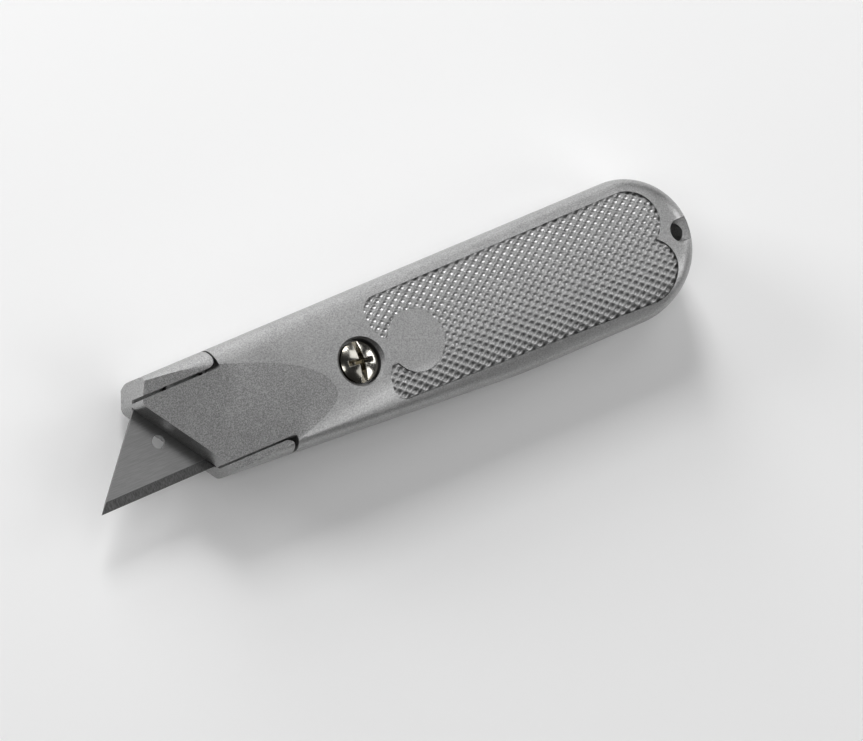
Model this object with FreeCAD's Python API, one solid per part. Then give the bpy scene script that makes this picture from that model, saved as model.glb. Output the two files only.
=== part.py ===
import FreeCAD, Part
import math
import os

V = FreeCAD.Vector

# A fixed-blade utility knife: two cast handle shells, one clamp screw, the fitted blade and spare blades.
# Working frame: the screw's axis is x = 0, y = 0 and the shells part at z = 0. +X runs from the nose to
# the tail, +Y from the cutting side (belly) to the spine, +Z out of the screw face. All in millimetres.

# ---- blades ----
blade_length = 61.5
blade_width = 18.7
blade_thickness = 0.63
blade_tip_angle = 46.4
blade_bevel = 2.1
blade_edge = 0.06          # thickness left at the cutting edge
blade_tilt = 0.5           # degrees, cutting edge against the handle's axis
blade_hole_radius = 1.45
blade_hole_inset = 18.9    # from each point, along the cutting edge
blade_hole_height = 9.25   # above the cutting edge
notch_spacing = 9.5
notch_width = 3.0
notch_depth = 2.2
notch_corner = 0.6
blade_screw_room = 4.0     # from the screw's axis to the fitted blade's rear point, along X

# ---- clamp screw ----
shank_radius = 2.4
thread_depth = 0.35
thread_pitch = 0.8
head_radius = 4.35
head_side = 2.1            # straight side of the head
head_dome = 1.3
head_clearance = 0.55      # round the head in its counterbore
counterbore_depth = 3.0
counterbore_rim = 0.7      # soft rim
shank_clearance = 0.25
thread_clearance = 0.05
bore_spare_depth = 1.0     # below the screw's tip
bore_skin = 1.8            # metal left under the threaded bore
recess_width = 1.15        # cross recess
recess_radius = 3.0
recess_depth = 1.9
recess_turn = -9.0         # degrees, where the screw stops when it is tight
slot_width = 1.1           # screwdriver slot right across the head, along one pair of the cross's arms
slot_floor = 0.2           # below the edge of the dome

# ---- handle section ----
spine_y = 14.6             # spine side, from the screw's axis
half_depth = 8.6           # crown of each shell above the parting plane
wall = 2.3
crown_radius = 40.0
shoulder_start = 4.0       # from the middle line to where the rounder belly shoulder begins
belly_wall = 2.0           # height of the belly side before it is rolled
edge_radius = 4.5          # roll from the crown into the side walls

# ---- nose and lugs ----
nose_mid_x = -42.6         # where the slanted nose edge crosses y = 0
nose_rake = 36.4           # nose edge, degrees from the Y axis
nose_height = 4.9          # shell's height at the nose edge
facet_slope = 7.8          # degrees, rising away from the nose edge
nose_top_drop = 0.85       # the nose edge's spine end, below the front shell's own edge
nose_top_radius = 1.9      # corner there
nose_low_radius = 0.8
spine_lug_width = 3.75
belly_lug_width = 1.95
lug_nose_setback = 4.0     # spine lug's nose end, ahead of the nose edge's middle
lug_nose_radius = 3.0
spine_lug_length = 11.7    # tail ends of the lugs, behind the nose edge's middle
belly_lug_length = 22.0
lug_round = 2.0            # inner tail corner of a lug
lug_seat_round = 0.6       # the same corner where the front shell meets it
spine_gap = 0.7            # between the spine lug and the front shell
belly_gap = 0.45
spine_end_gap = 0.5
belly_end_gap = 0.9
blade_back_room = 0.65     # between the spine lug and the blade's back
blade_edge_room = 0.55     # between the belly lug and the cutting edge
blade_step = 0.25          # clearance round the blade in its pocket

# ---- handle plan ----
belly_drop = 4.3           # the belly falls this much from the nose to the tail
belly_bend_x = 38.0        # where the belly turns parallel to the spine
belly_bend_radius = 150.0
tail_block = 9.1           # solid tail behind the spare-blade compartment
tail_spine_radius = 13.9   # the tail's rounding meets the belly's wider one on its end

# ---- inner structure ----
boss_wall = 2.3            # metal round the counterbore
boss_gap = 2.3             # from that boss to the compartment and to the nose pockets
rear_boss_wall = 2.4
core_start = 3.4           # from the nose edge to the cored pockets
core_belly_inset = 2.45    # from the lugs' inner faces to the pockets
core_spine_inset = 3.45
core_skin = 2.1            # metal left under the facet
core_bays = 3
rib = 1.8

# ---- spare blades ----
spare_count = 5
spare_nose_room = 2.3      # between the compartment's ends and the blades
spare_tail_room = 3.7
spare_spine_room = 1.8
rack_clearance = 0.41      # from the compartment's floor to the lowest spare blade's two long edges
rack_inset = 4.2           # rib line, in from each long side of the spare blades

# ---- blade locating studs ----
stud_clearance = 0.25
stud_height = 0.9          # above the parting plane
stud_relief = 0.4          # round and over a stud in the front shell

# ---- locating pins and lanyard hole at the tail ----
pin_setback = 2.6          # behind the compartment
pin_y = 7.4                # each side of the tail's middle line
pin_radius = 1.25
pin_height = 1.5
pin_clearance = 0.08
lanyard_inset = 4.1        # from the tail end to the hole's axis
lanyard_y = -0.7
lanyard_radius = 2.4
lanyard_flat = 3.0         # from the parting plane to the sloping flat, at the hole's axis
lanyard_slope = 40.0       # degrees, the flat rises towards the tail end

# ---- grip field on each face ----
field_screw_gap = 0.1      # between the counterbore and the field's nose edge
field_lean = 0.5           # the nose edge's spine end lies this much further back
field_spine_margin = 3.1
field_nose_margin = 2.45   # from the belly side, at the field's nose and tail
field_tail_margin = 2.7
field_tail_inset = 7.2     # from the tail end to the field
field_lobe_radius = 6.6    # the two tail lobes
field_corner = 3.6
field_depth = 0.8
field_tip_round = 1.0
land_radius = 6.6          # plain round land at the nose end of the field
land_setback = 9.0         # its centre, behind the field's nose edge
land_y = -0.4
neck_low_y = -3.3
neck_high_y = 2.4

# ---- worked out from the sizes above ----
far = 200.0                # larger than the knife
past = 2.0                 # how far a cutting shape runs past what it cuts
touch = 0.01               # smaller than any edge or slope that counts
rake = math.radians(nose_rake)
facet = math.radians(facet_slope)

spine_lug_y = spine_y - spine_lug_width
nose_top_y = spine_lug_y - spine_gap - nose_top_drop
blade_tip_x = -blade_screw_room - blade_length
blade_tip_y = spine_lug_y - blade_back_room - blade_width
belly_lug_y = blade_tip_y - blade_edge_room
belly_nose_y = belly_lug_y - belly_lug_width
belly_tail_y = belly_nose_y - belly_drop
lug_nose_x = nose_mid_x - lug_nose_setback
spine_lug_end = nose_mid_x + spine_lug_length
belly_lug_end = nose_mid_x + belly_lug_length

counterbore_radius = head_radius + head_clearance
front_boss_radius = counterbore_radius + boss_wall
rear_boss_radius = shank_radius + rear_boss_wall
head_seat_z = half_depth - counterbore_depth
head_edge_z = head_seat_z + head_side
bore_end_z = bore_skin - half_depth
screw_tip_z = bore_end_z + bore_spare_depth

core_end = -front_boss_radius - boss_gap
core_belly_y = belly_lug_y + core_belly_inset
core_spine_y = spine_lug_y - core_spine_inset
compartment_start = front_boss_radius + boss_gap
spare_tip_x = compartment_start + spare_nose_room
spare_tip_y = spine_y - wall - spare_spine_room - blade_width
compartment_end = spare_tip_x + blade_length + spare_tail_room

tail_x = compartment_end + tail_block
tail_belly_radius = spine_y - belly_tail_y - tail_spine_radius
tail_mid_y = (spine_y + belly_tail_y) / 2
pin_x = compartment_end + pin_setback
lanyard_x = tail_x - lanyard_inset

field_nose_x = counterbore_radius + field_screw_gap
field_spine_y = spine_y - field_spine_margin
field_tail_y = belly_tail_y + field_tail_margin
field_lobe_x = tail_x - field_tail_inset - field_lobe_radius
land_x = field_nose_x + land_setback


def nose_x(y):
    """X of the slanted nose edge at a given Y."""
    return nose_mid_x - y * math.tan(rake)


def belly_line(x):
    """Y of the belly's straight taper from the nose to the bend."""
    bend_from_nose = belly_bend_x - nose_x(belly_nose_y)
    return belly_tail_y + belly_drop * (belly_bend_x - x) / bend_from_nose


def rounded(corners, z=0.0):
    """Closed face at height z through corners (x, y, radius), going round once."""
    starts = []
    arcs = []
    count = len(corners)
    for i, (x, y, radius) in enumerate(corners):
        here = V(x, y, z)
        before = V(corners[i - 1][0], corners[i - 1][1], z) - here
        after = V(corners[(i + 1) % count][0], corners[(i + 1) % count][1], z) - here
        if radius == 0:
            starts.append((here, here))
            arcs.append(None)
            continue
        half_angle = before.getAngle(after) / 2
        before.normalize()
        after.normalize()
        reach = radius / math.tan(half_angle)
        middle = before + after
        middle.normalize()
        nearest = radius / math.sin(half_angle) - radius
        first = here + before * reach
        last = here + after * reach
        starts.append((first, last))
        arcs.append(Part.Arc(first, here + middle * nearest, last).toShape())
    edges = []
    for i in range(count):
        if arcs[i]:
            edges.append(arcs[i])
        leave = starts[i][1]
        arrive = starts[(i + 1) % count][0]
        if leave.distanceToPoint(arrive) > 1e-6:
            edges.append(Part.makeLine(leave, arrive))
    return Part.Face(Part.Wire(edges))


def prism(corners, low, high):
    return rounded(corners, low).extrude(V(0, 0, high - low))


def box(x0, x1, y0, y1, z0, z1):
    return Part.makeBox(x1 - x0, y1 - y0, z1 - z0, V(x0, y0, z0))


def rod(x, y, radius, z0, z1):
    return Part.makeCylinder(radius, z1 - z0, V(x, y, z0))


def joined(shapes):
    return shapes[0].multiFuse(shapes[1:]).removeSplitter()


def mirrored(shape):
    """The same shape on the other side of the parting plane."""
    return shape.mirror(V(0, 0, 0), V(0, 0, 1))


def shoulder():
    """Lean of the crown where the belly shoulder begins, then its radius, centre and steepest lean."""
    lean = math.asin(shoulder_start / crown_radius)
    start_z = half_depth - crown_radius * (1 - math.cos(lean))
    across = -belly_tail_y - shoulder_start
    down = start_z - belly_wall
    radius = (across ** 2 + down ** 2) / (2 * (down * math.cos(lean) - across * math.sin(lean)))
    middle_y = (radius - crown_radius) * math.sin(lean)
    middle_z = half_depth - crown_radius + (crown_radius - radius) * math.cos(lean)
    steepest = math.asin((middle_y - belly_tail_y) / radius)
    return lean, radius, V(0, middle_y, middle_z), steepest


def crown(inset):
    """Handle's crowned section carried along X: a flat arc that turns into a rounder belly shoulder."""
    lean, radius, shoulder_mid, steepest = shoulder()
    crown_low = half_depth - crown_radius
    big = crown_radius - inset
    small = radius - inset
    reach = math.asin((spine_y + past) / crown_radius)
    end = (steepest + math.pi / 2) / 2

    def on_big(angle):
        return V(0, big * math.sin(angle), crown_low + big * math.cos(angle))

    def on_small(angle):
        return shoulder_mid + V(0, -small * math.sin(angle), small * math.cos(angle))

    first = on_big(reach)
    meet = on_big(-lean)
    last = on_small(end)
    floor_z = last.z - past
    edges = [Part.Arc(first, on_big((reach - lean) / 2), meet).toShape(),
             Part.Arc(meet, on_small((lean + end) / 2), last).toShape(),
             Part.makeLine(last, V(0, last.y, floor_z)),
             Part.makeLine(V(0, last.y, floor_z), V(0, first.y, floor_z)),
             Part.makeLine(V(0, first.y, floor_z), first)]
    section = Part.Face(Part.Wire(edges))
    section.translate(V(-far, 0, 0))
    return section.extrude(V(2 * far, 0, 0))


def crown_height(y, inset):
    """Z of the handle's crowned section at a given Y, with the surface moved in by inset."""
    lean, radius, shoulder_mid, steepest = shoulder()
    if y > (inset - crown_radius) * math.sin(lean):
        return half_depth - crown_radius + math.sqrt((crown_radius - inset) ** 2 - y ** 2)
    return shoulder_mid.z + math.sqrt((radius - inset) ** 2 - (y - shoulder_mid.y) ** 2)


def rack_z():
    """Top of the rack's ribs: the lowest spare blade's long edges clear the compartment's floor."""
    floor_depths = [crown_height(y, wall) for y in (spare_tip_y, spare_tip_y + blade_width)]
    return rack_clearance - min(floor_depths)


def roll_radius():
    """The edge roll, held to what the belly side's low wall can carry."""
    steepest = shoulder()[3]
    return min(edge_radius, 0.9 * belly_wall / math.tan((math.pi / 2 - steepest) / 2))


def blank(inset):
    """Upper half of the handle with its nose not yet cut, every surface moved in by inset."""
    start_x = nose_mid_x - blade_length / 2
    plan = rounded([(start_x, spine_y, 0),
                    (tail_x, spine_y, tail_spine_radius), (tail_x, belly_tail_y, tail_belly_radius),
                    (belly_bend_x, belly_tail_y, belly_bend_radius),
                    (start_x, belly_line(start_x), 0)])
    if inset:
        plan = plan.makeOffset2D(-inset)
    solid = plan.extrude(V(0, 0, half_depth + past)).common(crown(inset))
    nose_end_x = solid.BoundBox.XMin + touch
    rolled = []
    for face in solid.Faces:
        u0, u1, v0, v1 = face.ParameterRange
        if abs(face.normalAt((u0 + u1) / 2, (v0 + v1) / 2).z) > touch:
            continue
        for edge in face.Edges:
            bounds = edge.BoundBox
            if bounds.ZMin > touch and bounds.XMax > nose_end_x and not any(edge.isSame(e) for e in rolled):
                rolled.append(edge)
    return solid.makeFillet(roll_radius() - inset, rolled)


def from_nose(shape):
    """Places a shape drawn with x = 0 at the nose edge and +x square to it, towards the tail."""
    shape.rotate(V(0, 0, 0), V(0, 0, 1), nose_rake)
    shape.translate(V(nose_mid_x, 0, 0))
    return shape


def under_facet(offset):
    """Everything below the nose facet, moved down by offset."""
    slab = Part.makeBox(2 * far, 2 * far, far, V(-far, -far, -far))
    slab.rotate(V(0, 0, 0), V(0, 1, 0), -facet_slope)
    slab.translate(V(0, 0, nose_height - offset / math.cos(facet)))
    return from_nose(slab)


def behind_nose(offset):
    """Everything on the tail side of the slanted nose edge, moved in by offset."""
    return from_nose(Part.makeBox(2 * far, 2 * far, 2 * far, V(offset, -far, -far)))


def field_prism(low, high):
    """Plan of the recessed grip field: two tail lobes, and a plain round land on a neck at its nose end."""
    nose_belly_y = belly_line(field_nose_x) + field_nose_margin
    plan = prism([(field_nose_x + field_lean, field_spine_y, field_corner), (field_lobe_x, field_spine_y, 0),
                  (field_lobe_x, field_tail_y, 0), (field_nose_x, nose_belly_y, field_corner)], low, high)
    lobes = [rod(field_lobe_x, y, field_lobe_radius, low, high)
             for y in (field_spine_y - field_lobe_radius, field_tail_y + field_lobe_radius)]
    field = joined([plan] + lobes)
    land = rod(land_x, land_y, land_radius, low, high)
    neck = box(field_nose_x - past, land_x, neck_low_y, neck_high_y, low, high)
    field = field.cut(joined([land, neck]))
    tips = []
    for edge in field.Edges:
        bounds = edge.BoundBox
        upright = bounds.ZLength > high - low - touch
        beside_neck = neck_low_y - touch < bounds.YMin and bounds.YMax < neck_high_y + touch
        if upright and beside_neck and bounds.XMax < land_x:
            tips.append(edge)
    return field.makeFillet(field_tip_round, tips)


def handle_half():
    """Outer form of one half: rolled edges, slanted nose with its facet, recessed grip field."""
    nose_low_x = nose_x(belly_nose_y)
    nose_plan = prism([(lug_nose_x, spine_y, lug_nose_radius),
                       (nose_x(nose_top_y), nose_top_y, nose_top_radius),
                       (nose_low_x, belly_nose_y, nose_low_radius),
                       (nose_low_x + past, belly_nose_y - past, 0), (nose_low_x + past, -far, 0),
                       (far, -far, 0), (far, far, 0), (lug_nose_x, far, 0)], -1, half_depth + past)
    half = blank(0).common(under_facet(0)).common(nose_plan)
    recess = field_prism(0, half_depth + past).cut(blank(field_depth))
    return half.cut(recess)


def lanyard_cut():
    """Lanyard hole and the sloping flat cut from it to the tail end."""
    hole = rod(lanyard_x, lanyard_y, lanyard_radius, -past, half_depth + past)
    low_y = lanyard_y - lanyard_radius
    end_z = lanyard_flat + (tail_x + past - lanyard_x) * math.tan(math.radians(lanyard_slope))
    top_z = max(half_depth + past, end_z + past)
    side = [V(lanyard_x, low_y, lanyard_flat), V(tail_x + past, low_y, end_z),
            V(tail_x + past, low_y, top_z), V(lanyard_x, low_y, top_z)]
    flat = Part.Face(Part.makePolygon(side + side[:1])).extrude(V(0, 2 * lanyard_radius, 0))
    return joined([hole, flat])


def compartment():
    """Hollow for the spare blades, one wall thick all round."""
    room = box(compartment_start, compartment_end, -far, far, 0, half_depth)
    return blank(wall).common(room)


def nose_cores(skin_below):
    """Cored pockets in the nose, split by ribs, with metal left under the facet and over skin_below."""
    room = box(-far, core_end, core_belly_y, core_spine_y, skin_below, half_depth)
    core = room.common(behind_nose(core_start)).common(under_facet(core_skin)).common(blank(wall))
    middle_y = (core_belly_y + core_spine_y) / 2
    ribs = [box(-far, core_end, middle_y - rib / 2, middle_y + rib / 2, -past, half_depth)]
    for i in range(1, core_bays):
        x = nose_mid_x + i * (core_end - nose_mid_x) / core_bays
        ribs.append(box(x - rib / 2, x + rib / 2, -far, far, -past, half_depth))
    return core.cut(joined(ribs))


def lug_zones(spine_side, belly_side, spine_end, belly_end, corner):
    """Room that the two lugs take above the parting plane, grown by the given gaps."""
    high = half_depth + past
    spine = prism([(-far, far, 0), (-far, spine_lug_y - spine_side, 0),
                   (spine_lug_end + spine_end, spine_lug_y - spine_side, corner),
                   (spine_lug_end + spine_end, far, 0)], 0, high)
    belly = prism([(-far, -far, 0), (belly_lug_end + belly_end, -far, 0),
                   (belly_lug_end + belly_end, belly_lug_y + belly_side, corner),
                   (-far, belly_lug_y + belly_side, 0)], 0, high)
    return [spine, belly]


def blade_blank(length, width, low, high, step):
    """Trapezoid with its left point at the origin and its cutting edge along +X, grown by step."""
    lean = math.radians(blade_tip_angle)
    inward = width / math.tan(lean)
    plan = rounded([(0, 0, 0), (length, 0, 0), (length - inward, width, 0), (inward, width, 0)], low)
    if step:
        plan = plan.makeOffset2D(step)
    return plan.extrude(V(0, 0, high - low))


def notch_places():
    return [blade_length / 2 - notch_spacing / 2, blade_length / 2 + notch_spacing / 2]


def make_blade():
    """Blade on its own axes: point at the origin, cutting edge along +X, upper face at z = 0."""
    blade = blade_blank(blade_length, blade_width, -blade_thickness, 0, 0)
    for x in (blade_hole_inset, blade_length - blade_hole_inset):
        blade = blade.cut(rod(x, blade_hole_height, blade_hole_radius, -past, past))
    for x in notch_places():
        half = notch_width / 2
        floor_y = blade_width - notch_depth
        notch = prism([(x - half, floor_y, notch_corner), (x + half, floor_y, notch_corner),
                       (x + half, blade_width + past, 0), (x - half, blade_width + past, 0)], -past, past)
        blade = blade.cut(notch)
    fall = (blade_thickness - blade_edge) / 2 * (1 + past / blade_bevel)
    for face_z, inward in ((0, -1), (-blade_thickness, 1)):
        section = [V(-past, blade_bevel, face_z), V(-past, -past, face_z + inward * fall),
                   V(-past, -past, face_z - inward * past), V(-past, blade_bevel, face_z - inward * past)]
        wedge = Part.Face(Part.makePolygon(section + section[:1]))
        blade = blade.cut(wedge.extrude(V(blade_length + 2 * past, 0, 0)))
    return blade


def fitted(shape):
    """Places a shape drawn on the blade's own axes where the fitted blade lies."""
    shape.rotate(V(0, 0, 0), V(0, 0, 1), blade_tilt)
    shape.translate(V(blade_tip_x, blade_tip_y, 0))
    return shape


def stud_rods(grow, low, high):
    """Rods through the two back notches, on the blade's own axes."""
    radius = notch_width / 2 - stud_clearance + grow
    y = blade_width - notch_depth + notch_width / 2
    return [rod(x, y, radius, low, high) for x in notch_places()]


def pin_rods(grow, high):
    return [rod(pin_x, tail_mid_y + side * pin_y, pin_radius + grow, 0, high) for side in (-1, 1)]


def make_front_shell():
    shell = handle_half()
    for zone in lug_zones(spine_gap, belly_gap, spine_end_gap, belly_end_gap, lug_seat_round):
        shell = shell.cut(zone)
    shell = shell.cut(compartment()).cut(nose_cores(0)).cut(lanyard_cut())
    boss = rod(0, 0, front_boss_radius, 0, half_depth).common(blank(0))
    shell = joined([shell, boss])
    counterbore = rod(0, 0, counterbore_radius, head_seat_z, half_depth + past)
    rim = Part.makeCone(counterbore_radius, counterbore_radius + 2 * counterbore_rim, 2 * counterbore_rim,
                        V(0, 0, half_depth - counterbore_rim))
    shank_hole = rod(0, 0, shank_radius + shank_clearance, -past, half_depth)
    shell = shell.cut(joined([counterbore, rim, shank_hole]))
    for relief in stud_rods(stud_relief, 0, stud_height + stud_relief):
        shell = shell.cut(fitted(relief))
    for hole in pin_rods(pin_clearance, pin_height + pin_clearance):
        shell = shell.cut(hole)
    return shell


def make_rear_shell():
    half = handle_half()
    lugs = [half.common(zone) for zone in lug_zones(0, 0, 0, 0, lug_round)]
    body = half.cut(compartment()).cut(nose_cores(blade_thickness)).cut(lanyard_cut())
    boss = rod(0, 0, rear_boss_radius, 0, half_depth).common(blank(0))
    body = mirrored(joined([body, boss]))
    body = joined([body] + lugs)
    pocket = blade_blank(blade_length, blade_width, -blade_thickness, far, blade_step)
    keep = box(-far, far, belly_lug_y + blade_step, spine_lug_y, -blade_thickness, far)
    body = body.cut(fitted(pocket).common(keep))
    body = body.cut(rod(0, 0, shank_radius + thread_clearance, bore_end_z, past))
    studs = [fitted(stud) for stud in stud_rods(0, -2 * blade_thickness, stud_height)]
    return joined([body] + studs + pin_rods(0, pin_height) + make_rack())


def make_rack():
    """Two ribs that carry the spare blades and the two studs that hold their notches."""
    floor = mirrored(compartment())
    top_z = rack_z() + spare_count * blade_thickness
    pieces = []
    for y in (spare_tip_y + rack_inset, spare_tip_y + blade_width - rack_inset):
        pieces.append(box(spare_tip_x, spare_tip_x + blade_length, y - rib / 2, y + rib / 2,
                          -half_depth, rack_z()).common(floor))
    for stud in stud_rods(0, -half_depth, top_z):
        stud.translate(V(spare_tip_x, spare_tip_y, 0))
        pieces.append(stud.common(floor))
    return pieces


def make_screw():
    """Domed head with a slot and a cross recess on a threaded shank, its thread drawn as plain rings."""
    top_z = head_edge_z + head_dome
    dome_radius = (head_radius ** 2 + head_dome ** 2) / (2 * head_dome)
    half_turn = math.asin(head_radius / dome_radius) / 2
    dome_low = top_z - dome_radius
    over = V(dome_radius * math.sin(half_turn), 0, dome_low + dome_radius * math.cos(half_turn))
    root = shank_radius - thread_depth
    points = [V(head_radius, 0, head_edge_z), V(head_radius, 0, head_seat_z), V(root, 0, head_seat_z)]
    rings = int((-screw_tip_z - thread_pitch) / thread_pitch)
    for i in range(rings):
        z = -i * thread_pitch
        points += [V(root, 0, z), V(shank_radius, 0, z - thread_pitch / 2)]
    points += [V(root, 0, -rings * thread_pitch), V(root, 0, screw_tip_z + thread_depth),
               V(root - thread_depth, 0, screw_tip_z), V(0, 0, screw_tip_z), V(0, 0, top_z)]
    edges = [Part.makeLine(a, b) for a, b in zip(points, points[1:])]
    edges.append(Part.Arc(points[-1], over, points[0]).toShape())
    screw = Part.Face(Part.Wire(edges)).revolve(V(0, 0, 0), V(0, 0, 1), 360)
    wings = []
    for angle in (0, 90):
        wing = box(-recess_radius, recess_radius, -recess_width / 2, recess_width / 2,
                   top_z - recess_depth, top_z + past)
        wing.rotate(V(0, 0, 0), V(0, 0, 1), angle)
        wings.append(wing)
    taper = Part.makeCone(recess_width / 2, recess_radius + recess_width, recess_depth + past,
                          V(0, 0, top_z - recess_depth))
    slot = box(-slot_width / 2, slot_width / 2, -2 * head_radius, 2 * head_radius,
               head_edge_z - slot_floor, top_z + past)
    drive = joined([joined(wings).common(taper), slot])
    drive.rotate(V(0, 0, 0), V(0, 0, 1), recess_turn)
    return screw.cut(drive)


nodes = {
    "rear_shell": make_rear_shell(),
    "front_shell": make_front_shell(),
    "clamp_screw": make_screw(),
    "fitted_blade": fitted(make_blade()),
}
for i in range(spare_count):
    spare = make_blade()
    spare.translate(V(spare_tip_x, spare_tip_y, rack_z() + (i + 1) * blade_thickness))
    nodes[f"spare_blade_{i + 1}"] = spare

# The finished frame stands on the lowest point, under the middle of the whole knife.
whole = Part.Compound(list(nodes.values())).optimalBoundingBox(False)
to_frame = V(-(whole.XMin + whole.XMax) / 2, -(whole.YMin + whole.YMax) / 2, -whole.ZMin)

os.makedirs("parts", exist_ok=True)
for name, shape in nodes.items():
    shape.translate(to_frame)
    shape.exportStep(f"parts/{name}.step")
    print(name, "solids", len(shape.Solids), "valid", shape.isValid(), "volume", round(shape.Volume, 1))
print("moved by", round(to_frame.x, 4), round(to_frame.y, 4), round(to_frame.z, 4))
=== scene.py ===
import math

import bpy
import numpy as np
from mathutils import Matrix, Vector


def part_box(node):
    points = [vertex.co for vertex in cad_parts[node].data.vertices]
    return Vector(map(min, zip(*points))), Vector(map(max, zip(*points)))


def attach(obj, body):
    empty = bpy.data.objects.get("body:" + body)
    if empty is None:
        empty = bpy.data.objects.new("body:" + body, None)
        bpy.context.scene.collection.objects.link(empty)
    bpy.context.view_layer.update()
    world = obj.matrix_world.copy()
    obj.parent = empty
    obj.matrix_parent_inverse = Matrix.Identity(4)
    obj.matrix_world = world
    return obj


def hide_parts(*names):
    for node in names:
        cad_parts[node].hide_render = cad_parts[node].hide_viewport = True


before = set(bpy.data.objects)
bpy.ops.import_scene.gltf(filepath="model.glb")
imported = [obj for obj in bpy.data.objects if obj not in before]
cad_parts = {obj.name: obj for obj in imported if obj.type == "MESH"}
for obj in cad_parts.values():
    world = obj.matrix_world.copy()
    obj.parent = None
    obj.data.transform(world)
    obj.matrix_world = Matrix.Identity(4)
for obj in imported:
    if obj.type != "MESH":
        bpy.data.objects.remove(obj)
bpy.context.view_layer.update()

# A cast-metal utility knife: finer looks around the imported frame. Everything is in metres, apart from the
# settings whose names end in Mm.
mm = 0.001
weldMm = 0.002  # corners of a CAD copy nearer than this become one


def linear(hexColour):
    # sRGB channel c becomes ((c + 0.055) / 1.055) ^ 2.4, or c / 12.92 near black
    channels = [int(hexColour[i:i + 2], 16) / 255 for i in (1, 3, 5)]
    return [c / 12.92 if c <= 0.04045 else ((c + 0.055) / 1.055) ** 2.4 for c in channels] + [1.0]


def addNode(tree, kind, settings=None, links=None):
    # adds one node: settings fill its properties or sockets, links join its sockets to other nodes' outputs
    node = tree.nodes.new(kind)
    for name, value in (settings or {}).items():
        if isinstance(name, str) and hasattr(node, name):
            setattr(node, name, value)
        else:
            node.inputs[name].default_value = value
    for name, output in (links or {}).items():
        tree.links.new(output, node.inputs[name])
    return node


def addRamp(tree, source, stops, colours):
    # colour ramp over source, with one hex colour at each stop
    node = addNode(tree, "ShaderNodeValToRGB", links={"Fac": source})
    ramp = node.color_ramp
    while len(ramp.elements) < len(stops):
        ramp.elements.new(0.5)
    for element, position, colour in zip(ramp.elements, stops, colours):
        element.position = position
        element.color = linear(colour)
    return node.outputs["Color"]


def newMaterial(name):
    # an empty node material, and the place on the piece that its patterns read
    material = bpy.data.materials.new(name)
    material.use_nodes = True
    tree = material.node_tree
    tree.nodes.clear()
    place = addNode(tree, "ShaderNodeTexCoord").outputs["Object"]
    return material, tree, place


def finishMaterial(tree, settings, links):
    # the one shader, joined to the output
    shader = addNode(tree, "ShaderNodeBsdfPrincipled", settings, links)
    addNode(tree, "ShaderNodeOutputMaterial", links={"Surface": shader.outputs["BSDF"]})


def meshPiece(name, vertices, faces, smooth=True):
    mesh = bpy.data.meshes.new(name)
    mesh.from_pydata(np.asarray(vertices).tolist(), [], [list(face) for face in faces])
    mesh.validate()
    mesh.polygons.foreach_set("use_smooth", np.full(len(mesh.polygons), smooth))
    piece = bpy.data.objects.new(name, mesh)
    bpy.context.scene.collection.objects.link(piece)
    return piece


def gridFaces(rows, columns, wrap):
    # quads between neighbouring rows and columns of a grid stored row by row
    across = columns if wrap else columns - 1
    row, column = np.meshgrid(np.arange(rows - 1), np.arange(across), indexing="ij")
    nextColumn = (column + 1) % columns
    corners = [row * columns + column, row * columns + nextColumn,
               (row + 1) * columns + nextColumn, (row + 1) * columns + column]
    return np.stack(corners, axis=-1).reshape(-1, 4)


screwLow, screwHigh = [np.array(corner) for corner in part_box("clamp_screw")]
shellLow, shellHigh = [np.array(corner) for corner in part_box("front_shell")]
screwX, screwY = (screwLow + screwHigh)[:2] / 2
partingZ = shellLow[2]
halfDepth = shellHigh[2] - partingZ
print("frame read: screw at", round(screwX, 5), round(screwY, 5), "parting plane", round(partingZ, 5))


# bead dimples are about 0.1 mm across, too fine to show, so each zinc's grain is drawn nearly 3 times
# coarser; its cloud is the slow mottle that the die leaves
blastLook = {"detail": 3.0, "grainRoughness": 0.6, "stops": (0.36, 0.5, 0.64), "roughSpread": 0.05}
blastedZincLook = {"baseHex": "#A9A9A9", "paleHex": "#BCBCBC", "darkHex": "#949494", "roughness": 0.42,
                   "grainMm": 0.3, "cloudMm": 6.0, "cloudShare": 0.12, "bump": 0.2, "bumpDepthMm": 0.015}
facetZincLook = {"baseHex": "#999999", "paleHex": "#B1B1B1", "darkHex": "#7F7F7F", "roughness": 0.46,
                   "grainMm": 0.27, "cloudMm": 6.0, "cloudShare": 0.08, "bump": 0.3, "bumpDepthMm": 0.02}
# painted shade for the counterbore's walls: the casting's zinc drawn darker and duller
boreShadeZincLook = {"baseHex": "#727272", "paleHex": "#868686", "darkHex": "#5E5E5E", "roughness": 0.6,
                "grainMm": 0.3, "cloudMm": 3.0, "cloudShare": 0.3, "bump": 0.2, "bumpDepthMm": 0.015}
# painted shade for the grip: its colour is multiplied down from white on the crests to grey in the pits
gripPitShadeLook = {"stops": (0.0, 0.35, 1.0), "hexes": ("#FFFFFF", "#F4F4F4", "#CCCCCC")}  # crest, flank, pit


def pitShadeTone(tree, colour, pits):
    # painted shade: multiplies the colour by a tone that follows the piece's own "pit" attribute, 0 on a
    # crest, 1 in a pit, so the pits are drawn darker
    depth = addNode(tree, "ShaderNodeAttribute", {"attribute_name": "pit"}).outputs["Fac"]
    tone = addRamp(tree, depth, pits["stops"], pits["hexes"])
    colourA, colourB, colourResult = 6, 7, 2  # the mix node's colour sockets share their names with others
    mixed = addNode(tree, "ShaderNodeMix", {"data_type": "RGBA", "blend_type": "MULTIPLY", "Factor": 1.0},
                    {colourA: colour, colourB: tone})
    return mixed.outputs[colourResult]


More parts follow.
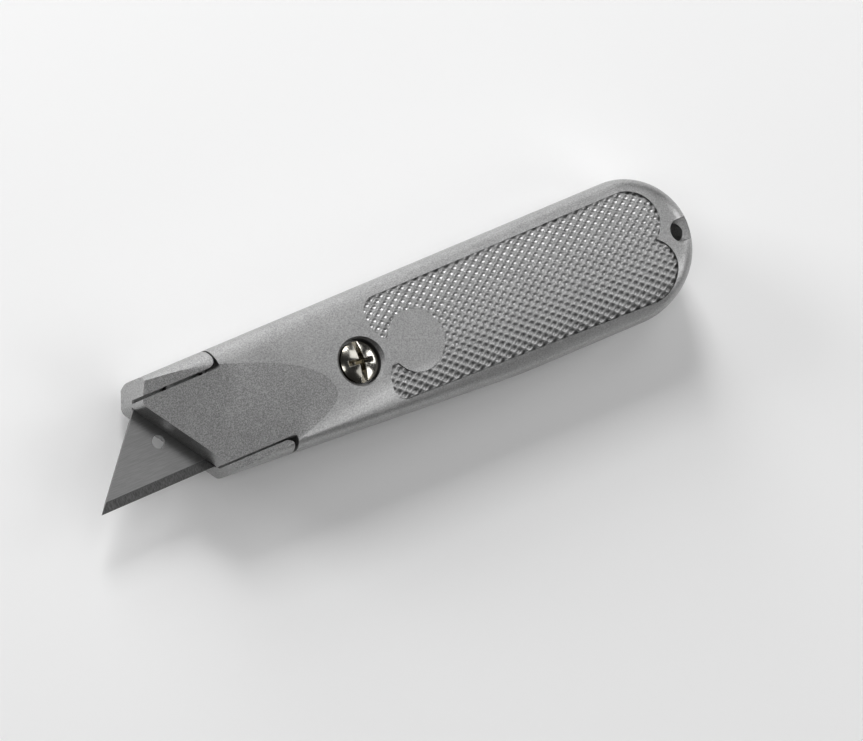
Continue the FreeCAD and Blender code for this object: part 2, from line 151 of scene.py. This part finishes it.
def blastedZinc(name, look, pits=None):
    # zinc die casting, bead blasted: an even satin grey, broken by a fine dark and light grain
    material, tree, place = newMaterial(name)
    grain = addNode(tree, "ShaderNodeTexNoise", {"Scale": 1 / (look["grainMm"] * mm),
                    "Detail": blastLook["detail"], "Roughness": blastLook["grainRoughness"]},
                    {"Vector": place}).outputs["Fac"]
    cloud = addNode(tree, "ShaderNodeTexNoise", {"Scale": 1 / (look["cloudMm"] * mm),
                    "Detail": blastLook["detail"]}, {"Vector": place}).outputs["Fac"]
    both = addNode(tree, "ShaderNodeMix", {"Factor": look["cloudShare"]},
                   {"A": grain, "B": cloud}).outputs["Result"]
    colour = addRamp(tree, both, blastLook["stops"], (look["darkHex"], look["baseHex"], look["paleHex"]))
    # painted shade in the pits, when it is asked for
    if pits:
        colour = pitShadeTone(tree, colour, pits)
    spread = blastLook["roughSpread"]
    rough = addNode(tree, "ShaderNodeMapRange", {"To Min": look["roughness"] - spread,
                    "To Max": look["roughness"] + spread}, {"Value": both}).outputs["Result"]
    bump = addNode(tree, "ShaderNodeBump", {"Strength": look["bump"], "Distance": look["bumpDepthMm"] * mm},
                   {"Height": grain}).outputs["Normal"]
    finishMaterial(tree, {"Metallic": 1.0}, {"Base Color": colour, "Roughness": rough, "Normal": bump})
    return material


# grinding marks are about 0.02 mm wide, too fine to show, so both steels' marks are drawn coarser
groundSteelLook = {"baseHex": "#878787", "paleHex": "#939393", "roughness": 0.36, "markMm": 0.12,
                   "stretch": (0.04, 1.0, 1.0), "detail": 2.0, "stops": (0.35, 0.65), "bump": 0.08,
                   "bumpDepthMm": 0.01}
honedSteelLook = {"baseHex": "#4F4F4F", "paleHex": "#6B6B6B", "roughness": 0.42, "markMm": 0.22,
                  "stretch": (1.0, 0.25, 1.0), "detail": 3.0, "stops": (0.35, 0.7), "bump": 0.2,
                  "bumpDepthMm": 0.01}


def markedSteel(name, look):
    # hardened strip steel with grinding marks: noise stretched along the way that the wheel ran
    material, tree, place = newMaterial(name)
    markPlace = addNode(tree, "ShaderNodeMapping", {"Scale": look["stretch"]},
                        {"Vector": place}).outputs["Vector"]
    mark = addNode(tree, "ShaderNodeTexNoise", {"Scale": 1 / (look["markMm"] * mm), "Detail": look["detail"]},
                   {"Vector": markPlace}).outputs["Fac"]
    colour = addRamp(tree, mark, look["stops"], (look["baseHex"], look["paleHex"]))
    bump = addNode(tree, "ShaderNodeBump", {"Strength": look["bump"], "Distance": look["bumpDepthMm"] * mm},
                   {"Height": mark}).outputs["Normal"]
    finishMaterial(tree, {"Metallic": 1.0, "Roughness": look["roughness"]},
                   {"Base Color": colour, "Normal": bump})
    return material


nickelPlateLook = {"baseHex": "#C9C6BE", "tarnishHex": "#6B6350", "stops": (0.0, 0.45), "roughness": 0.12,
                   "roughLess": 0.03, "roughMore": 0.12, "wearMm": 1.6, "detail": 3.0, "stainFromMm": 0.7,
                   "stainFullMm": 1.9}


def nickelPlate():
    # bright nickel plate: mirror-like, with a brown tarnish that gathers deep in the recess
    look = nickelPlateLook
    material, tree, place = newMaterial("bright_nickel_plate")
    wear = addNode(tree, "ShaderNodeTexNoise", {"Scale": 1 / (look["wearMm"] * mm), "Detail": look["detail"]},
                   {"Vector": place}).outputs["Fac"]
    height = addNode(tree, "ShaderNodeSeparateXYZ", links={"Vector": place}).outputs["Z"]
    low = addNode(tree, "ShaderNodeMapRange", {"From Min": screwHigh[2] - look["stainFullMm"] * mm,
                  "From Max": screwHigh[2] - look["stainFromMm"] * mm, "To Min": 1.0, "To Max": 0.0},
                  {"Value": height}).outputs["Result"]
    stain = addNode(tree, "ShaderNodeMath", {"operation": "MULTIPLY"}, {0: low, 1: wear}).outputs["Value"]
    colour = addRamp(tree, stain, look["stops"], (look["baseHex"], look["tarnishHex"]))
    rough = addNode(tree, "ShaderNodeMapRange", {"To Min": look["roughness"] - look["roughLess"],
                    "To Max": look["roughness"] + look["roughMore"]}, {"Value": wear}).outputs["Result"]
    finishMaterial(tree, {"Metallic": 1.0}, {"Base Color": colour, "Roughness": rough})
    return material


zinc = blastedZinc("blasted_zinc_casting", blastedZincLook)
# the nose facet is drawn in a darker, grainier zinc than the rest of the casting
facetZinc = blastedZinc("zinc_nose_facet", facetZincLook)
# painted shade: the walls of the screw's bore are drawn in a darker, duller zinc, where the counterbore shuts
# out the light
boreShadeZinc = blastedZinc("zinc_bore_painted_shade", boreShadeZincLook)
# the chequered grip is drawn darker down in its pits: painted shade where the pit walls shut out the light
gripShadeZinc = blastedZinc("zinc_grip_painted_pit_shade", blastedZincLook, gripPitShadeLook)
# the blade's faces are surface ground along its length: a flat mid grey with fine streaks
steel = markedSteel("ground_strip_steel", groundSteelLook)
# its bevels are ground across the edge on a coarser wheel: darker, with short crosswise scratches
bevelSteel = markedSteel("honed_bevel_steel", honedSteelLook)
nickel = nickelPlate()
print("materials made")


shellLook = {"edgeMm": 0.22, "edgeSteps": 3, "creaseDegrees": 38, "boreRadiusMm": 5.55, "wallUpward": 0.9,
             "facetRakeDegrees": 36.4, "facetSlopeDegrees": 7.8, "facetSlackDegrees": 0.6}


def applyModifiers(piece):
    # the piece's mesh becomes what its modifiers make of it
    graph = bpy.context.evaluated_depsgraph_get()
    done = bpy.data.meshes.new_from_object(piece.evaluated_get(graph))
    done.name = piece.name
    piece.modifiers.clear()
    piece.data = done


def mergedCopy(node, name):
    # the CAD node's triangles, with doubled corners merged so that a bevel can run along its edges
    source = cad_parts[node]
    mesh = source.data.copy()
    mesh.name = name
    mesh.materials.clear()
    piece = bpy.data.objects.new(name, mesh)
    bpy.context.scene.collection.objects.link(piece)
    weld = piece.modifiers.new("weld", "WELD")
    weld.merge_threshold = weldMm * mm
    applyModifiers(piece)
    # the node's stored normals no longer fit its merged corners
    splitNormals = piece.data.attributes.get("custom_normal")
    if splitNormals:
        piece.data.attributes.remove(splitNormals)
    return piece


def faceNormals(mesh):
    normals = np.empty(len(mesh.polygons) * 3)
    mesh.polygons.foreach_get("normal", normals)
    return normals.reshape(-1, 3)


def onFacet(mesh, side):
    # faces square to the nose facet, which leans back from the slanted nose edge
    rake = math.radians(shellLook["facetRakeDegrees"])
    slope = math.radians(shellLook["facetSlopeDegrees"])
    lean = np.array([-math.sin(slope) * math.cos(rake), -math.sin(slope) * math.sin(rake),
                     side * math.cos(slope)])
    return faceNormals(mesh) @ lean > math.cos(math.radians(shellLook["facetSlackDegrees"]))


def inBore(mesh):
    # the walls of the screw's counterbore and its soft rim, which take the painted shade: near its axis, and
    # not facing straight up
    centres = np.empty(len(mesh.polygons) * 3)
    mesh.polygons.foreach_get("center", centres)
    centres = centres.reshape(-1, 3)
    near = np.hypot(centres[:, 0] - screwX, centres[:, 1] - screwY) < shellLook["boreRadiusMm"] * mm
    return near & (np.abs(faceNormals(mesh)[:, 2]) < shellLook["wallUpward"])


def shellPiece(node, body, sides):
    # the casting with softened edges, its nose facet in a darker, grainier zinc and its bore walls in painted
    # shade: material 0 is the blasted casting, 1 the nose facet, 2 the bore's painted shade
    piece = mergedCopy(node, node + "_cast")
    for finish in (zinc, facetZinc, boreShadeZinc):
        piece.data.materials.append(finish)
    facetFaces = np.any([onFacet(piece.data, side) for side in sides], axis=0)
    piece.data.polygons.foreach_set("material_index", np.where(inBore(piece.data), 2, facetFaces.astype(int)))
    bevel = piece.modifiers.new("cast edge", "BEVEL")
    bevel.width = shellLook["edgeMm"] * mm
    bevel.segments = shellLook["edgeSteps"]
    bevel.limit_method = "ANGLE"
    bevel.angle_limit = math.radians(shellLook["creaseDegrees"])
    bevel.use_clamp_overlap = True
    bevel.harden_normals = True
    piece.data.polygons.foreach_set("use_smooth", np.full(len(piece.data.polygons), True))
    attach(piece, body)
    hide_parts(node)
    return piece


frontShell = shellPiece("front_shell", "front_shell", [1])
rearShell = shellPiece("rear_shell", "rear_shell", [1, -1])
print("shells softened:", len(frontShell.data.polygons), len(rearShell.data.polygons))


bladeLook = {"bevelUpward": (0.9, 0.999)}  # a bevel's normal rises by between these; flat faces rise by 1


def bladePiece(node):
    # CAD blade with its ground bevels, the faces that slope, in their own finish
    piece = mergedCopy(node, node + "_ground")
    mesh = piece.data
    mesh.materials.append(steel)
    mesh.materials.append(bevelSteel)
    upward = np.abs(faceNormals(mesh)[:, 2])
    least, most = bladeLook["bevelUpward"]
    mesh.polygons.foreach_set("material_index", ((upward > least) & (upward < most)).astype(int))
    mesh.polygons.foreach_set("use_smooth", np.full(len(mesh.polygons), False))
    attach(piece, node)
    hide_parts(node)
    return piece


bladeNodes = [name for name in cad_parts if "blade" in name]
for bladeNode in bladeNodes:
    bladePiece(bladeNode)
print("blades made:", len(bladeNodes))


padLook = {
    "pitchMm": 1.453, "angleDegrees": 33.0, "turnDegrees": -1.65, "knot": 0.4, "depthMm": 0.37,  # chequer
    "crestMm": 0.4, "floorMm": 1.1, "stepMm": 0.146, "spareMm": 1.0,  # slab
    "noseMm": 5.0, "leanMm": 0.5, "cornerMm": 3.6, "spineMm": 11.5,  # outline, from the screw's axis
    "bellyNoseMm": -10.9, "bellyTailMm": -12.6, "lobeMm": 72.3, "lobeRadiusMm": 6.6,
    "landMm": (14.0, -0.4), "landRadiusMm": 6.6, "neckMm": (-3.3, 2.4),
    "cornerPoints": 14, "lobePoints": 40, "landPoints": 90,
    "crownRadiusMm": 40.0, "shoulderMm": 16.07, "shoulderStartMm": 4.0,  # crowned face
}


def crownHeight(y):
    # height of the crowned face over the parting plane: a wide arc, then a tangent tighter belly arc
    look = padLook
    big = look["crownRadiusMm"]
    small = look["shoulderMm"]
    lean = math.asin(look["shoulderStartMm"] / big)
    top = halfDepth / mm
    wide = top - big + np.sqrt(np.maximum(big ** 2 - y ** 2, 0))
    middleY = -(big - small) * math.sin(lean)
    middleZ = top - big + (big - small) * math.cos(lean)
    tight = middleZ + np.sqrt(np.maximum(small ** 2 - (y - middleY) ** 2, 0))
    return np.where(y > -look["shoulderStartMm"], wide, tight)


def arcPoints(centre, radius, startDegrees, endDegrees, count):
    # points on a circle between two angles, both ends kept
    angle = np.radians(np.linspace(startDegrees, endDegrees, count))
    return np.stack([centre[0] + radius * np.cos(angle), centre[1] + radius * np.sin(angle)], axis=1)


def fieldOutline():
    # the recessed field seen square on, anticlockwise: belly line, two tail lobes, spine line, neck, land
    look = padLook
    corner = look["cornerMm"]
    lobe = look["lobeRadiusMm"]
    lowLobe = (look["lobeMm"], look["bellyTailMm"] + lobe)
    topLobe = (look["lobeMm"], look["spineMm"] - lobe)
    halfGap = (topLobe[1] - lowLobe[1]) / 2
    meetDegrees = math.degrees(math.asin(halfGap / lobe))
    lowNeck, highNeck = look["neckMm"]
    landX, landY = look["landMm"]
    radius = look["landRadiusMm"]
    lowDegrees = math.degrees(math.asin((lowNeck - landY) / radius))
    highDegrees = math.degrees(math.asin((highNeck - landY) / radius))
    parts = [
        arcPoints((look["noseMm"] + corner, look["bellyNoseMm"] + corner), corner, 180, 270,
                  look["cornerPoints"]),
        arcPoints(lowLobe, lobe, -90, meetDegrees, look["lobePoints"]),
        arcPoints(topLobe, lobe, -meetDegrees, 90, look["lobePoints"])[1:],
        arcPoints((look["noseMm"] + look["leanMm"] + corner, look["spineMm"] - corner), corner, 90, 180,
                  look["cornerPoints"]),
        [(look["noseMm"] + look["leanMm"] / 2, highNeck)],
        arcPoints((landX, landY), radius, 180 - highDegrees, -180 - lowDegrees, look["landPoints"]),
        [(look["noseMm"], lowNeck)],
    ]
    return np.concatenate([np.asarray(part, dtype=float) for part in parts])


def chequer(x, y):
    # two families of rounded ridges cross at equal angles: 1 on the crests, 0 in the pits between them.
    # Each family dips by the squared sine of pi times the distance across it over the pitch, and the
    # height is 1 less a mix of the two dips' product and their mean
    look = padLook
    turn = math.radians(look["turnDegrees"])
    half = math.radians(look["angleDegrees"])
    along = x * math.cos(turn) + y * math.sin(turn)
    across = y * math.cos(turn) - x * math.sin(turn)
    first = (along * math.sin(half) + across * math.cos(half)) / look["pitchMm"]
    second = (along * math.sin(half) - across * math.cos(half)) / look["pitchMm"]
    dipFirst = np.sin(np.pi * first) ** 2
    dipSecond = np.sin(np.pi * second) ** 2
    return 1 - (1 - look["knot"]) * dipFirst * dipSecond - look["knot"] * (dipFirst + dipSecond) / 2


def underStrips(rows, columns, first):
    # the pad's plain underside, one long strip between each two rows of its grid
    strips = []
    for row in range(rows - 1):
        near = first + row * columns
        far = near + columns
        nearRow = range(near, far) if row == 0 else (near, far - 1)
        farRow = range(far, far + columns) if row == rows - 2 else (far, far + columns - 1)
        strips.append([*farRow, *reversed(nearRow)])
    return strips


def padSlab():
    # a grid over the field: its top is the crowned face less the crest's depth less the chequer's depth,
    # its bottom the crowned face less the floor's depth, and walls join the two round the rim
    look = padLook
    outline = fieldOutline()
    lowX, lowY = outline.min(axis=0) - look["spareMm"]
    highX, highY = outline.max(axis=0) + look["spareMm"]
    xs = np.arange(lowX, highX, look["stepMm"])
    ys = np.arange(lowY, highY, look["stepMm"])
    y, x = np.meshgrid(ys, xs, indexing="ij")
    top = crownHeight(y) - look["crestMm"] - look["depthMm"] * (1 - chequer(x, y))
    bottom = crownHeight(y) - look["floorMm"]
    points = np.concatenate([np.stack([x, y, z], axis=-1).reshape(-1, 3) for z in (top, bottom)])
    rows, columns = x.shape
    count = x.size
    ring = np.concatenate([np.arange(columns), np.arange(1, rows) * columns + columns - 1,
                           np.arange(columns - 2, -1, -1) + (rows - 1) * columns,
                           np.arange(rows - 2, 0, -1) * columns])
    following = np.roll(ring, -1)
    walls = np.stack([ring, ring + count, following + count, following], axis=1)
    faces = [list(face) for face in np.concatenate([gridFaces(rows, columns, False), walls])]
    return points, faces + underStrips(rows, columns, count)


def fieldBlock():
    # the field's outline carried straight up from the parting plane to above the crowned face
    outline = fieldOutline()
    count = len(outline)
    heights = (0.0, halfDepth / mm + padLook["spareMm"])
    points = np.concatenate([np.column_stack([outline, np.full(count, z)]) for z in heights])
    around = np.arange(count)
    after = np.roll(around, -1)
    sides = np.stack([around, after, after + count, around + count], axis=1)
    return points, [list(face) for face in sides] + [list(around[::-1]), list(around + count)]


def gripPad(name, body, side):
    # the slab cut to the field's outline; side is 1 on the screw face and -1, its mirror image, on the back
    shift = np.array([screwX, screwY, partingZ])

    def placed(made, pieceName, smooth):
        points, faces = made
        turned = [face[::-1] if side < 0 else face for face in faces]
        return meshPiece(pieceName, points * mm * [1, 1, side] + shift, turned, smooth)

    pad = placed(padSlab(), name, True)
    cutter = placed(fieldBlock(), name + "_cutter", False)
    cut = pad.modifiers.new("outline", "BOOLEAN")
    cut.operation = "INTERSECT"
    cut.solver = "MANIFOLD"
    cut.object = cutter
    applyModifiers(pad)
    bpy.data.objects.remove(cutter)
    pad.data.materials.clear()
    pad.data.materials.append(gripShadeZinc)
    places = np.empty(len(pad.data.vertices) * 3)
    pad.data.vertices.foreach_get("co", places)
    flat = (places.reshape(-1, 3) - shift) / mm
    # the pit depth, which the grip material turns into painted shade
    pit = pad.data.attributes.new("pit", "FLOAT", "POINT")
    pit.data.foreach_set("value", 1 - chequer(flat[:, 0], flat[:, 1]))
    pad.data.polygons.foreach_set("use_smooth", np.full(len(pad.data.polygons), True))
    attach(pad, body)
    return pad


frontPad = gripPad("front_grip_pad", "front_shell", 1)
rearPad = gripPad("rear_grip_pad", "rear_shell", -1)
print("grip pads:", len(frontPad.data.polygons), len(rearPad.data.polygons))


screwLook = {
    "headRadiusMm": 4.35, "domeMm": 1.3, "sideMm": 2.1, "edgeMm": 0.25, "cornerMm": 0.12,  # head
    "fineRadiusMm": 3.2, "fineRings": 80, "coarseRings": 24, "ringGapMm": 0.02, "columns": 256,  # its grid
    "armMm": 3.0, "armWidthMm": 1.1, "armDepthMm": 2.0, "armTipShare": 0.28, "armTaper": 1.9,  # recess
    "armSoftMm": 0.22, "slotFloorMm": 0.2, "slotSoftMm": 0.16, "turnDegrees": -9.0,
    "rootMm": 2.05, "crestMm": 2.4, "pitchMm": 0.8, "ringsPerPitch": 8, "threadStartMm": 5.6,  # thread
    "threadEndMm": 0.6, "chamferMm": 0.35, "tipRadiusMm": 0.9,
}


def recessDepth(x, y, slotDepth):
    # a cross of two arms that shallow and narrow outwards, and one screwdriver slot right across: how far
    # the dome is sunk is the deepest of the three, each with walls that ease over their soft width
    look = screwLook
    turn = math.radians(look["turnDegrees"])
    u = x * math.cos(turn) + y * math.sin(turn)
    v = y * math.cos(turn) - x * math.sin(turn)
    half = look["armWidthMm"] / 2

    def wall(distance, soft):
        # eases from 1 to 0 as 3 times the step squared less twice its cube
        step = np.clip(0.5 - distance / soft, 0, 1)
        return step * step * (3 - 2 * step)

    def arm(along, across):
        out = np.clip(np.abs(along) / look["armMm"], 0, 1)
        width = half * (1 - look["armTipShare"] * (1 - out))
        depth = look["armDepthMm"] * np.minimum((1 - out) * look["armTaper"], 1)
        return depth * wall(np.abs(across) - width, look["armSoftMm"])

    slot = slotDepth * wall(np.abs(u) - half, look["slotSoftMm"])
    return np.maximum(np.maximum(arm(u, v), arm(v, u)), slot)


def screwProfile():
    # radius and height down the screw's outline: a dome cut from a sphere, the head's side, the seat, and a
    # thread whose radius goes from root to crest and back as a cosine, once for each pitch
    look = screwLook
    head = look["headRadiusMm"]
    dome = look["domeMm"]
    fine = look["fineRadiusMm"]
    sphere = (head ** 2 + dome ** 2) / (2 * dome)
    top = screwHigh[2] / mm
    tip = screwLow[2] / mm
    seat = top - dome - look["sideMm"]
    soft = look["edgeMm"]
    domeRadii = np.concatenate([np.linspace(0, fine, look["fineRings"])[1:],
                                np.linspace(fine, head - look["ringGapMm"], look["coarseRings"])[1:]])
    domeHeights = top - sphere + np.sqrt(sphere ** 2 - domeRadii ** 2)
    ringStep = look["pitchMm"] / look["ringsPerPitch"]
    threadHeights = np.arange(seat - look["threadStartMm"], tip + look["threadEndMm"], -ringStep)
    wave = (1 + np.cos(2 * np.pi * (threadHeights - threadHeights[0]) / look["pitchMm"])) / 2
    root = look["rootMm"]
    threadRadii = root + (look["crestMm"] - root) * (1 - wave)
    chamfer = look["chamferMm"]
    radii = np.concatenate([domeRadii, [head, head, head - soft, root], threadRadii,
                            [root, root - chamfer, look["tipRadiusMm"]]])
    heights = np.concatenate([domeHeights, [top - dome - look["cornerMm"], seat + soft, seat, seat],
                              threadHeights, [tip + chamfer, tip, tip]])
    return radii, heights, len(domeRadii)


def screwSurface():
    # the profile turned round the screw's axis, the dome's rings sunk by the recess, both ends closed
    look = screwLook
    radii, heights, domeRows = screwProfile()
    columns = look["columns"]
    top = screwHigh[2] / mm
    angle = np.linspace(0, 2 * np.pi, columns, endpoint=False)
    x = radii[:, None] * np.cos(angle)
    y = radii[:, None] * np.sin(angle)
    z = np.repeat(heights[:, None], columns, axis=1)
    slotFloor = top - look["domeMm"] - look["slotFloorMm"]
    z[:domeRows] -= recessDepth(x[:domeRows], y[:domeRows], z[:domeRows] - slotFloor)
    points = np.concatenate([[[0, 0, top - look["armDepthMm"]]],
                             np.stack([x, y, z], axis=-1).reshape(-1, 3), [[0, 0, heights[-1]]]])
    around = np.arange(columns)
    after = np.roll(around, -1)
    last = len(points) - 1
    bottom = 1 + (len(radii) - 1) * columns
    faces = [[0, a + 1, b + 1] for a, b in zip(around, after)]
    faces += [list(face[::-1] + 1) for face in gridFaces(len(radii), columns, True)]
    faces += [[last, bottom + b, bottom + a] for a, b in zip(around, after)]
    return points * mm + [screwX, screwY, 0], faces


def clampScrew():
    points, faces = screwSurface()
    piece = meshPiece("clamp_screw_plated", points, faces)
    piece.data.materials.append(nickel)
    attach(piece, "clamp_screw")
    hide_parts("clamp_screw")
    return piece


screwPiece = clampScrew()
print("screw:", len(screwPiece.data.polygons))


floorLook = {"sizeM": 6.0, "hex": "#F4F4F4", "roughness": 0.9}


def paleBoard():
    # matt white board, for the floor: an even pale ground that takes a soft shadow
    material, tree = newMaterial("matt_white_board")[:2]
    finishMaterial(tree, {"Base Color": linear(floorLook["hex"]), "Roughness": floorLook["roughness"]}, {})
    return material


floor = meshPiece("floor", np.array([[-1, -1, 0], [1, -1, 0], [1, 1, 0], [-1, 1, 0]]) * floorLook["sizeM"],
                  [[0, 1, 2, 3]], False)
floor.data.materials.append(paleBoard())


def setPlace(thing, place, right, up, back):
    # columns of the matrix are the thing's own right, up and backward directions, then its place
    matrix = np.eye(4)
    for column, values in enumerate((right, up, back, place)):
        matrix[:3, column] = values
    thing.matrix_world = Matrix(matrix.tolist())


# each soft box: its direction from the knife, in degrees round from +X and up from the floor, its width in
# metres and its power
softBoxes = {
    "tail_box": {"round": 0, "up": 24, "size": 0.5, "watts": 3.0},
    "high_tail_box": {"round": 0, "up": 60, "size": 0.5, "watts": 0.75},
    "tail_spine_box": {"round": 45, "up": 35, "size": 0.5, "watts": 0.6},
    "high_spine_box": {"round": 60, "up": 60, "size": 0.5, "watts": 1.1},
    "spine_box": {"round": 90, "up": 33, "size": 0.3, "watts": 6.4},
    "low_spine_box": {"round": 90, "up": 12, "size": 0.5, "watts": 7.4},
    "low_nose_box": {"round": 135, "up": 12, "size": 0.5, "watts": 11.0},
    "nose_box": {"round": 180, "up": 52, "size": 0.3, "watts": 1.2},
    "high_belly_box": {"round": -60, "up": 60, "size": 0.5, "watts": 0.65},
    "tail_belly_box": {"round": -45, "up": 35, "size": 0.5, "watts": 2.4},
}
boxDistance = 1.2  # metres from the frame's origin, under the knife


def addSoftBox(name, box):
    # a square of light that looks at the knife
    light = bpy.data.lights.new(name, "AREA")
    light.shape = "SQUARE"
    light.size = box["size"]
    light.energy = box["watts"]
    lamp = bpy.data.objects.new(name, light)
    turn = math.radians(box["round"])
    rise = math.radians(box["up"])
    out = np.array([math.cos(rise) * math.cos(turn), math.cos(rise) * math.sin(turn), math.sin(rise)])
    side = np.array([-math.sin(turn), math.cos(turn), 0.0])
    setPlace(lamp, out * boxDistance, side, np.cross(out, side), out)
    bpy.context.scene.collection.objects.link(lamp)


for boxName, box in softBoxes.items():
    addSoftBox(boxName, box)

worldLook = {"wallHex": "#303030", "strength": 1.0}


def studioWorld():
    # dark studio walls, so that the soft boxes shape the metal
    world = bpy.data.worlds.new("studio")
    world.use_nodes = True
    tree = world.node_tree
    tree.nodes.clear()
    sky = addNode(tree, "ShaderNodeBackground", {"Strength": worldLook["strength"],
                  "Color": linear(worldLook["wallHex"])})
    addNode(tree, "ShaderNodeOutputWorld", links={"Surface": sky.outputs["Background"]})
    bpy.context.scene.world = world


studioWorld()

# the view is frameWidth units wide, and unitsPerMm of them go to a millimetre of the knife
cameraLook = {"tiltDegrees": 29.5, "rollDegrees": 22.9, "distance": 6.5, "unitsPerMm": 4.85,
              "frameWidth": 863, "aimMm": (14.78, -7.42, 7.9), "sensorMm": 36.0, "clip": (0.05, 50.0)}


def addCamera():
    # stands off the screw face, tilted towards the nose, and rolled so that the tail rises to the right
    look = cameraLook
    tilt = math.radians(look["tiltDegrees"])
    roll = math.radians(look["rollDegrees"])
    along = np.array([math.cos(tilt), 0, math.sin(tilt)])
    back = np.array([-math.sin(tilt), 0, math.cos(tilt)])
    across = np.cross(back, along)
    right = math.cos(roll) * along - math.sin(roll) * across
    up = math.sin(roll) * along + math.cos(roll) * across
    aim = np.array(look["aimMm"]) * mm + [screwX, screwY, partingZ]
    lens = bpy.data.cameras.new("camera")
    lens.sensor_width = look["sensorMm"]
    lens.lens = look["unitsPerMm"] / mm * look["distance"] * lens.sensor_width / look["frameWidth"]
    lens.clip_start, lens.clip_end = look["clip"]
    camera = bpy.data.objects.new("camera", lens)
    setPlace(camera, aim + back * look["distance"], right, up, back)
    bpy.context.scene.collection.objects.link(camera)
    bpy.context.scene.camera = camera


addCamera()
bpy.context.scene.view_settings.view_transform = "Standard"
print("stage set")
